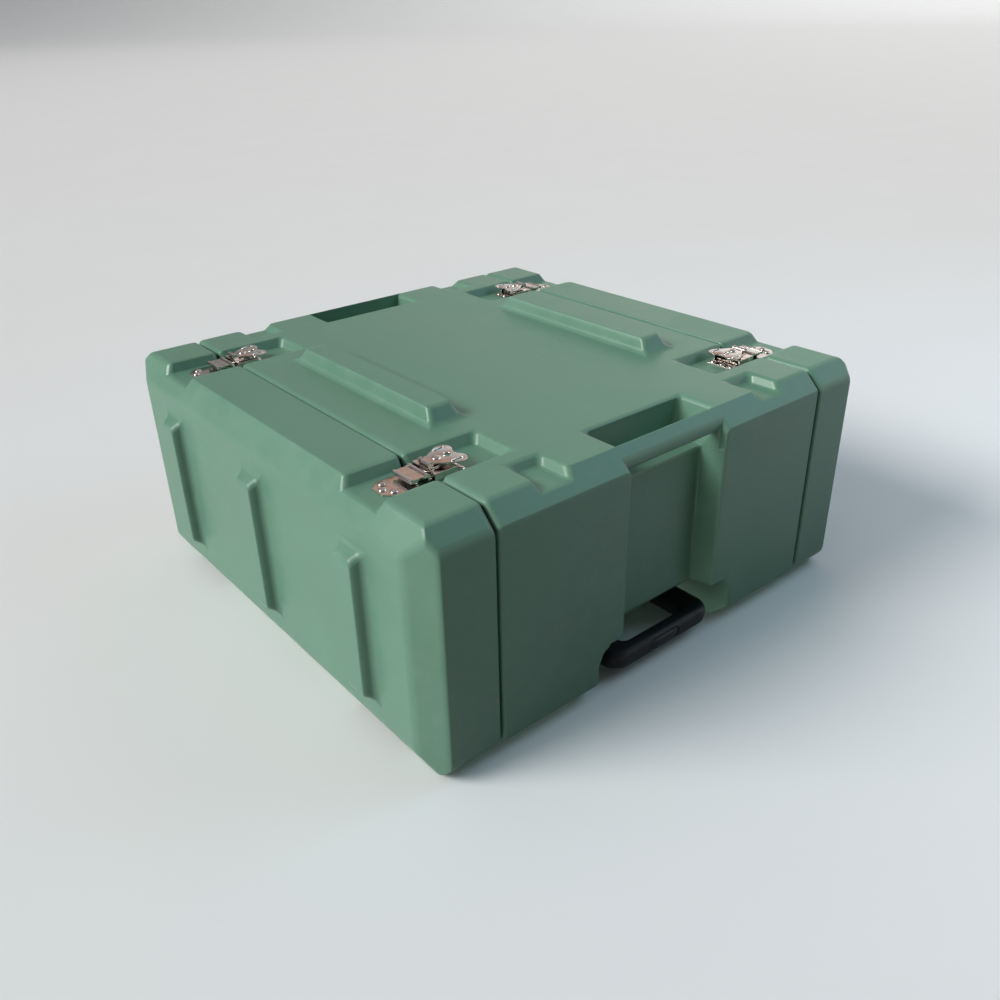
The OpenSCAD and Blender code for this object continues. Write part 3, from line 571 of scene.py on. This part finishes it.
def wing_outline(count):
    """Points where the level is zero: a span along each ray from the middle is halved 24 times."""
    t = np.linspace(0, 2 * np.pi, count, endpoint=False)
    near, far = np.zeros(count), np.full(count, FARTHEST)
    for _ in range(24):
        reach = (near + far) / 2
        inside = wing_level(MIDDLE + reach * np.cos(t), reach * np.sin(t)) < 0
        near, far = np.where(inside, reach, near), np.where(inside, far, reach)
    return np.stack([MIDDLE + near * np.cos(t), near * np.sin(t)], axis=1)


WING_EDGE = wing_outline(OUTLINE_POINTS)
print("wing is", round(float(np.ptp(WING_EDGE[:, 1])) / MM, 1), "mm wide")

# %% [markdown]
# ## Holes in the wing
# A round hole sits between the lobes and a slot in each of them. A slot's edge is a circle cut in
# half and pulled apart, so the round hole is a slot with no straight part.

# %% Wing holes
def slot_edge(middle, straight, radius, count):
    """A slot's edge and its outward directions: two half circles joined by straight sides."""
    t = np.linspace(0, 2 * np.pi, count, endpoint=False)
    out = np.stack([np.cos(t), np.sin(t)], axis=1)
    shift = np.stack([np.where(np.cos(t) >= 0, straight, -straight) / 2, np.zeros(count)], axis=1)
    return np.array(middle) + shift + radius * out, out


HOLE_A, HOLE_R = 25 * MM, 3.4 * MM
SLOT_A, SLOT_B, SLOT_L, SLOT_R = 26 * MM, 15 * MM, 9 * MM, 1.5 * MM
EDGE_POINTS = 40
HOLES = [slot_edge((HOLE_A, 0), 0, HOLE_R, EDGE_POINTS)]
HOLES += [slot_edge((SLOT_A, side * SLOT_B), SLOT_L, SLOT_R, EDGE_POINTS) for side in (1, -1)]
print("holes in the wing", len(HOLES))

# %% [markdown]
# ## Stamping the plate
# A flat Blender curve fills the space between an outline and its holes by itself. Its extrusion
# gives the sheet's thickness, its bevel the soft edge of a tumbled stamping, and its offset draws
# the outline in again by as much as the bevel puts it out.

# %% Flat plate
def flat_plate(name, loops, thickness, edge):
    """A flat curve filled between its loops, thick by thickness, with a rounded edge, as a mesh."""
    curve = bpy.data.curves.new(name, "CURVE")
    curve.dimensions, curve.fill_mode = "2D", "BOTH"
    curve.extrude, curve.bevel_depth, curve.bevel_resolution = thickness / 2 - edge, edge, 2
    curve.offset = -edge
    for loop in loops:
        line = curve.splines.new("POLY")
        line.points.add(len(loop) - 1)
        rest = np.broadcast_to((0.0, 1.0), (len(loop), 2))
        line.points.foreach_set("co", np.column_stack([loop, rest]).ravel())
        line.use_cyclic_u = True
    holder = bpy.data.objects.new(name, curve)
    mesh = bpy.data.meshes.new_from_object(holder)
    bpy.data.objects.remove(holder)
    return mesh


SHEET = 1.6 * MM
SOFT_EDGE = 0.35 * MM
plate = flat_plate("wing_plate", [WING_EDGE] + [hole[0] for hole in HOLES], SHEET, SOFT_EDGE)
print("plate has", len(plate.polygons), "faces")

# %% [markdown]
# ## One wing, eight places
# The plate, its rims, the rivet and the barrel make one mesh in the wing's own frame. A turned copy
# goes to each latch: the joint in the record gives the hinge's place, and the CAD node's box tells
# which way the wing points.

# %% Wings
RIM_OUT, RIM_HALF, RIM_H = 0.75 * MM, 0.65 * MM, 0.45 * MM
RIVET_A, RIVET_R, RIVET_H = 12.5 * MM, 4.6 * MM, 2.2 * MM
BARREL_R, PIN_R = 2.6 * MM, 1.55 * MM
CREASE = math.radians(50)
LEVEL = 0.999


def wing_mesh():
    """The wing in its own frame: X from the hinge to the tip, Z outwards, the hinge pin along Y."""
    turn = np.linspace(0, 2 * np.pi, 10, endpoint=False)
    rims = []
    for edge, out in HOLES:
        across = RIM_OUT + RIM_HALF * np.cos(turn)
        flat = edge[:, None] + across[None, :, None] * out[:, None]
        high = np.broadcast_to(SHEET / 2 + RIM_H * np.sin(turn), flat.shape[:2])
        rims.append(np.dstack([flat, high]))
    rise = np.linspace(0, np.pi / 2, 10)
    dome = np.stack([RIVET_R * np.cos(rise), SHEET / 2 + RIVET_H * np.sin(rise)], axis=1)
    dome = turned(np.concatenate([[(0, 0), (RIVET_R, 0)], dome]), (RIVET_A, 0, 0), "Z", 40)
    tube = [(PIN_R, -NECK_HALF), (BARREL_R, -NECK_HALF), (BARREL_R, NECK_HALF), (PIN_R, NECK_HALF)]
    parts = [surface("rims", np.stack(rims), close_rows=True), surface("dome", dome[None]),
             surface("barrel", turned(tube, (0, 0, 0), "Y", 32)[None], close_rows=True)]
    bm = bmesh.new()
    bm.from_mesh(plate)
    bmesh.ops.remove_doubles(bm, verts=bm.verts, dist=WELD)
    bmesh.ops.recalc_face_normals(bm, faces=bm.faces)
    for part in parts:
        bm.from_mesh(part.data)
        bpy.data.objects.remove(part)
    for f in bm.faces:
        f.smooth = abs(f.normal.z) < LEVEL
    mesh = bpy.data.meshes.new("wing")
    bm.to_mesh(mesh)
    bm.free()
    mesh.set_sharp_from_angle(angle=CREASE)
    return mesh


stamped = wing_mesh()
for joint in frame["record"]["behaviour"]["joints"]:
    node = joint["child"]
    if not node.startswith("wing_"):
        continue
    hinge = Vector(joint["pos_m"])
    along = 1 if sum(c[0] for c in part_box(node)) / 2 > hinge[0] else -1
    outward = 1 if node.endswith("top") else -1
    piece = bpy.data.objects.new(node + "_look", stamped.copy())
    axes = Matrix(((along, 0, 0), (0, along * outward, 0), (0, 0, outward))).to_4x4()
    piece.data.transform(Matrix.Translation(hinge) @ axes)
    bpy.context.scene.collection.objects.link(piece)
    dress(piece, BODY_OF[node], SLOT_OF[node], node)
    print(piece.name, "hinged at", [round(float(c), 4) for c in hinge])

# %% [markdown]
# ## The pull grip
# The grip is a moulded nylon loop with a full, soft section that fills the hand. Its path is a U:
# up one arm, round a corner, along the front bar and back down the other arm. Between an outer and
# an inner line lies a superellipse, which is an ellipse with squarer shoulders. The front of the bar
# has a pocket for the release button, with a soft lip round it.

# %% Grip path
GRIP_LOW, GRIP_HIGH = (np.array(c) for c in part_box("pull_grip"))
BUTTON_LOW, BUTTON_HIGH = (np.array(c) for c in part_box("release_button"))
TUBE_X = abs(sum(c[0] for c in solids_of("handle_inner_tubes")[-1])) / 2
OUTER_X = GRIP_HIGH[0]
INNER_X = 2 * TUBE_X - OUTER_X
BAR = 19 * MM
OUTER_ROUND = 21 * MM
INNER_ROUND = 10 * MM


def corner_line(half, front, back, radius, straight, arc, run):
    """Half of a U: from the bar's middle to the corner, round a quarter circle, then back along the arm."""
    along = np.stack([np.linspace(0, half - radius, straight, endpoint=False),
                      np.full(straight, front)], axis=1)
    t = np.linspace(0, np.pi / 2, arc, endpoint=False)
    bend = np.stack([half - radius + radius * np.sin(t), front + radius * (1 - np.cos(t))], axis=1)
    back_run = np.stack([np.full(run, half), np.linspace(front + radius, back, run)], axis=1)
    return np.concatenate([along, bend, back_run])


def superellipse(count, power):
    """Unit curve where |x|^power + |y|^power = 1, as (x, y) rows."""
    t = np.linspace(0, 2 * np.pi, count, endpoint=False)
    c, s = np.cos(t), np.sin(t)
    return np.stack([np.sign(c) * np.abs(c) ** (2 / power), np.sign(s) * np.abs(s) ** (2 / power)], axis=1)


STATIONS = (90, 24, 30)
outer = corner_line(OUTER_X, GRIP_LOW[1], GRIP_HIGH[1], OUTER_ROUND, *STATIONS)
inner = corner_line(INNER_X, GRIP_LOW[1] + BAR, GRIP_HIGH[1], INNER_ROUND, *STATIONS)
outer, inner = (np.concatenate([side[:0:-1] * (-1, 1), side]) for side in (outer, inner))
print("grip stations", len(outer), "arm width", round(OUTER_X - INNER_X, 4))

# %% [markdown]
# ## The grip's surface
# Each station of the path carries one superellipse. The arms' ends close in a soft dome, and the
# points in front of the button sink into its pocket. How far a point lies inside the pocket's
# rounded rectangle gives both the steep wall and the small lip around it.

# %% Grip surface
POCKET_DEEP, POCKET_GAP, POCKET_WALL, POCKET_ROUND = 6.5 * MM, 0.4 * MM, 0.5 * MM, 5 * MM
LIP_H, LIP_OUT, LIP_W = 0.5 * MM, 1.3 * MM, 0.9 * MM
GRIP_POWER = 3.1
END_ROUND = 7 * MM
END_POWER = 2.5


def inside_round_rect(x, z, half_x, half_z, radius):
    """Distance inside a rectangle with rounded corners, below zero outside it."""
    qx = np.abs(x) - (half_x - radius)
    qz = np.abs(z) - (half_z - radius)
    outside = np.hypot(np.maximum(qx, 0), np.maximum(qz, 0)) + np.minimum(np.maximum(qx, qz), 0)
    return radius - outside


section = superellipse(144, GRIP_POWER)
centre, half = (outer + inner) / 2, (outer - inner) / 2
tall = (GRIP_HIGH[2] - GRIP_LOW[2]) / 2
end = np.clip((GRIP_HIGH[1] - centre[:, 1]) / END_ROUND, 0, 1)
soft_end = (1 - (1 - end) ** END_POWER) ** (1 / END_POWER)
soft_end[[0, -1]] = 0
points = np.empty((len(centre), len(section), 3))
points[..., :2] = centre[:, None] + half[:, None] * section[None, :, :1] * soft_end[:, None, None]
points[..., 2] = (GRIP_LOW[2] + GRIP_HIGH[2]) / 2 + tall * section[None, :, 1] * soft_end[:, None]
button_z = (BUTTON_LOW[2] + BUTTON_HIGH[2]) / 2
deep = inside_round_rect(points[..., 0], points[..., 2] - button_z, BUTTON_HIGH[0] + POCKET_GAP,
                         (BUTTON_HIGH[2] - BUTTON_LOW[2]) / 2 + POCKET_GAP, POCKET_ROUND)
front = points[..., 1] < GRIP_LOW[1] + BAR / 2
points[..., 1] += np.where(front, POCKET_DEEP * np.clip(deep / POCKET_WALL, 0, 1), 0)
points[..., 1] -= np.where(front, LIP_H * np.exp(-((deep + LIP_OUT) / LIP_W) ** 2), 0)
grip = surface("pull_grip_look", points[None])
dress(grip, BODY_OF["pull_grip"], SLOT_OF["pull_grip"], "pull_grip")
print(grip.name, len(grip.data.polygons), "faces")

# %% [markdown]
# ## The release button
# The button is a rounded bar of the same nylon that stands a little proud of the grip and follows
# its curve from top to bottom. It is a superellipse outline that shrinks towards a domed front.

# %% Button
BUTTON_POWER = 4.5
PROUD = 0.4 * MM
FOLLOW = 3 * MM
span = (BUTTON_HIGH - BUTTON_LOW) / 2
outline = superellipse(96, BUTTON_POWER) * [span[0], span[2]]
size = np.concatenate([np.full(2, 1.0), np.sqrt(1 - np.linspace(0, 1, 10) ** 3) * 0.35 + 0.65,
                       np.linspace(0.6, 0, 8)])
size = np.concatenate([[0], size])
depth = np.concatenate([[1, 1, 0.35], 0.35 - 0.27 * np.linspace(0, 1, 10),
                        0.08 - 0.08 * np.linspace(0.3, 1, 8) ** 0.5])
depth = depth * 2 * span[1]
cap = np.empty((len(size), len(outline), 3))
cap[..., 0] = outline[None, :, 0] * size[:, None]
cap[..., 1] = BUTTON_LOW[1] - PROUD + depth[:, None]
cap[..., 2] = button_z + outline[None, :, 1] * size[:, None]
cap[..., 1] += (np.abs(cap[..., 2] - button_z) / tall) ** GRIP_POWER * FOLLOW
button = surface("release_button_look", cap[None])
dress(button, BODY_OF["release_button"], SLOT_OF["release_button"], "release_button")
print(button.name, len(button.data.polygons), "faces")

# %% [markdown]
# ## Wheels
# Each wheel is a nylon hub in a rubber tyre, half sunk in the back edge. The tyre's profile has
# rounded shoulders and three thin grooves in its tread; the hub stays the CAD model's, with its
# edges rounded below. Carrying the profile round the axle makes the tyre.

# %% Tyres
GROOVES = (-0.45, 0.0, 0.45)
GROOVE_DEEP, GROOVE_W = 0.9 * MM, 0.035
RUBBER_T = 6 * MM
CROWN = 3.2 * MM
SHOULDER = 3.6 * MM
for side in ("left", "right"):
    low, high = (np.array(c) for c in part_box(f"wheel_{side}_tyre"))
    centre, half_w, radius = (low + high) / 2, (high[0] - low[0]) / 2, (high[2] - low[2]) / 2
    bore = radius - RUBBER_T
    t = np.linspace(-1, 1, 121)
    tread = radius - CROWN * np.abs(t) ** 6
    for g in GROOVES:
        tread = tread - GROOVE_DEEP * np.exp(-((t - g) / GROOVE_W) ** 4)
    profile = [(bore, -half_w), (radius - SHOULDER, -half_w)]
    profile += list(zip(tread, t * half_w)) + [(radius - SHOULDER, half_w), (bore, half_w)]
    tyre = surface(f"wheel_{side}_tyre_look", turned(profile, centre, "X", 96)[None], close_rows=True)
    dress(tyre, BODY_OF[f"wheel_{side}_tyre"], SLOT_OF[f"wheel_{side}_tyre"], f"wheel_{side}_tyre")
    print(tyre.name, "radius", round(float(radius), 4))

# %% [markdown]
# ## Shock mounts
# Rubber cylinders carry the rack inside the sleeve. Each is moulded with a waist, so that it gives
# in shear, and with two thin ribs where the mould halves met.

# %% Rubber mounts
WAIST = 0.13
MOULD_RIB, RIB_W = 0.7 * MM, 0.03
grids = []
for low, high in solids_of("shock_rubbers"):
    middle, radius, length = (low + high) / 2, (high[0] - low[0]) / 2, high[1] - low[1]
    t = np.linspace(0, 1, 33)
    waist = radius * (1 - WAIST * np.sin(np.pi * t) ** 0.8)
    ribs = sum(MOULD_RIB * np.exp(-((t - at) / RIB_W) ** 2) for at in (0.33, 0.67))
    profile = [(0, 0)] + list(zip(waist + ribs, t * length)) + [(0, length)]
    grids.append(turned(profile, (middle[0], low[1], middle[2]), "Y", 40))
mounts = surface("shock_rubbers_look", np.stack(grids))
dress(mounts, BODY_OF["shock_rubbers"], SLOT_OF["shock_rubbers"], "shock_rubbers")
print(mounts.name, len(grids), "mounts")

# %% [markdown]
# ## Pressed and machined pieces
# Sheet steel comes from the press with edges rounded by a few tenths of a millimetre, which catch
# a thin line of light. The same edge rounding as on the shells does them all, with a small radius.

# %% Metal and small parts
SMALL_RADIUS = {"spindle": 0.5, "link": 0.6, "latch_housings": 0.5, "keepers": 0.5,
                "rack": 0.6, "wheel_brackets": 0.8, "wheel_left_hub": 0.8, "wheel_right_hub": 0.8,
                "handle_tube_brackets": 1.5, "channel_cover": 0.6, "handle_tube_bushes": 0.6}
for node in sorted(NODES):
    size = [r for start, r in SMALL_RADIUS.items() if node.startswith(start) and node != "rack_bolts"]
    if size:
        rounded_copy(node, size[0] * MM, 2, 0.6 * MM)
    elif not NODES[node].hide_render:
        NODES[node].data.materials.clear()
        NODES[node].data.materials.append(FINISH[SLOT_OF[node]])

# %% [markdown]
# ## Floor and light
# A plain pale floor and soft light let the forms speak. A broad sun from the left and a little
# behind makes the left lid the brightest side and leaves the front face in soft shade. A cool panel
# on the right draws a blue line along the sloped edges.

# %% Lights
def aim(lamp, way):
    """Puts the lamp on the scene and turns its -Z axis along way."""
    lamp.rotation_euler = Vector(way).to_track_quat("-Z", "Y").to_euler()
    bpy.context.scene.collection.objects.link(lamp)


sun = bpy.data.lights.new("broad_sun", "SUN")
sun.energy, sun.angle, sun.color = 4.5, math.radians(34), (1.0, 1.0, 0.965)
aim(bpy.data.objects.new("broad_sun", sun), (0.83, -0.33, -0.46))

cool = bpy.data.lights.new("cool_panel", "AREA")
cool.size, cool.energy, cool.color = 1.1, 7.0, (0.45, 0.78, 1.0)
cool_lamp = bpy.data.objects.new("cool_panel", cool)
cool_lamp.location = (1.15, -0.95, 1.5)
aim(cool_lamp, Vector((0.0, -0.1, 0.2)) - cool_lamp.location)
print("lights", [sun.name, cool.name])

# %% [markdown]
# ## Sky
# The sky is one soft grey with three tones laid over it, each strongest in one direction: a warm
# wall behind, a bright bounce from the left and a dark room in front. Smooth ramps between them
# leave no edge in the metal's reflections.

# %% Sky
SKY = (0.34, 0.38, 0.42, 1)
BACK_WALL = (0.50, 0.36, 0.30, 1)
LEFT_BOUNCE = (0.98, 1.0, 0.98, 1)
FRONT_SHADE = (0.050, 0.050, 0.040, 1)
TONES = (((0.6, 0.75, 0.25), 0.55, 0.95, BACK_WALL), ((-1, 0, -0.6), 0.2, 0.8, LEFT_BOUNCE),
         ((0.1, -1, -0.15), 0.0, 0.6, FRONT_SHADE))


def toward(nodes, links, way, low, high):
    """0 where a sky direction leans away from way and 1 where it leans towards it."""
    place = nodes.new("ShaderNodeTexCoord")
    lean = nodes.new("ShaderNodeVectorMath")
    lean.operation = "DOT_PRODUCT"
    lean.inputs[1].default_value = Vector(way).normalized()
    links.new(place.outputs["Generated"], lean.inputs[0])
    ramp = nodes.new("ShaderNodeMapRange")
    ramp.interpolation_type = "SMOOTHSTEP"
    ramp.inputs["From Min"].default_value = low
    ramp.inputs["From Max"].default_value = high
    links.new(lean.outputs["Value"], ramp.inputs["Value"])
    return ramp.outputs[0]


world = bpy.data.worlds.new("studio")
bpy.context.scene.world = world
world.use_nodes = True
sky = world.node_tree.nodes["Background"]
colour = None
for way, low, high, tone in TONES:
    blend = world.node_tree.nodes.new("ShaderNodeMix")
    blend.data_type = "RGBA"
    blend.inputs[6].default_value = SKY
    blend.inputs[7].default_value = tone
    world.node_tree.links.new(toward(world.node_tree.nodes, world.node_tree.links, way, low, high),
                              blend.inputs[0])
    if colour is not None:
        world.node_tree.links.new(colour, blend.inputs[6])
    colour = blend.outputs[2]
world.node_tree.links.new(colour, sky.inputs["Color"])
bpy.context.scene.view_settings.view_transform = "Standard"
print("sky nodes", len(world.node_tree.nodes))

# %% [markdown]
# ## The floor
# The floor is a wide disc that curves up into a wall far away, so no edge or horizon shows.
# It catches the soft shadow but is left out of diffuse bounces: the sky's own tones stand in for
# its bounce, which keeps the front face in shade.

# %% Floor
FLAT_R, WALL_R, WALL_H = 22.0, 36.0, 17.0
FLOOR_GAP = 0.2 * MM
floor_mat, floor_shader = new_material("pale_floor", Roughness=0.9)
floor_tone = mix(floor_mat, noise(floor_mat, object_place(floor_mat), 3, 2),
                 (0.84, 0.84, 0.84, 1), (0.87, 0.87, 0.87, 1))
join(floor_mat, floor_tone, floor_shader.inputs["Base Color"])
t = np.linspace(0, np.pi / 2, 24)
cove = [(0, 0), (1, 0), (5, 0)]
cove += list(zip(FLAT_R + (WALL_R - FLAT_R) * np.sin(t), WALL_H * (1 - np.cos(t))))
floor = surface("studio_floor", turned(cove, (0, 0, -FLOOR_GAP), "Z", 96)[None])
floor.data.flip_normals()
floor.data.materials.append(floor_mat)
floor.visible_diffuse = False
print("floor is flat to", FLAT_R, "m")
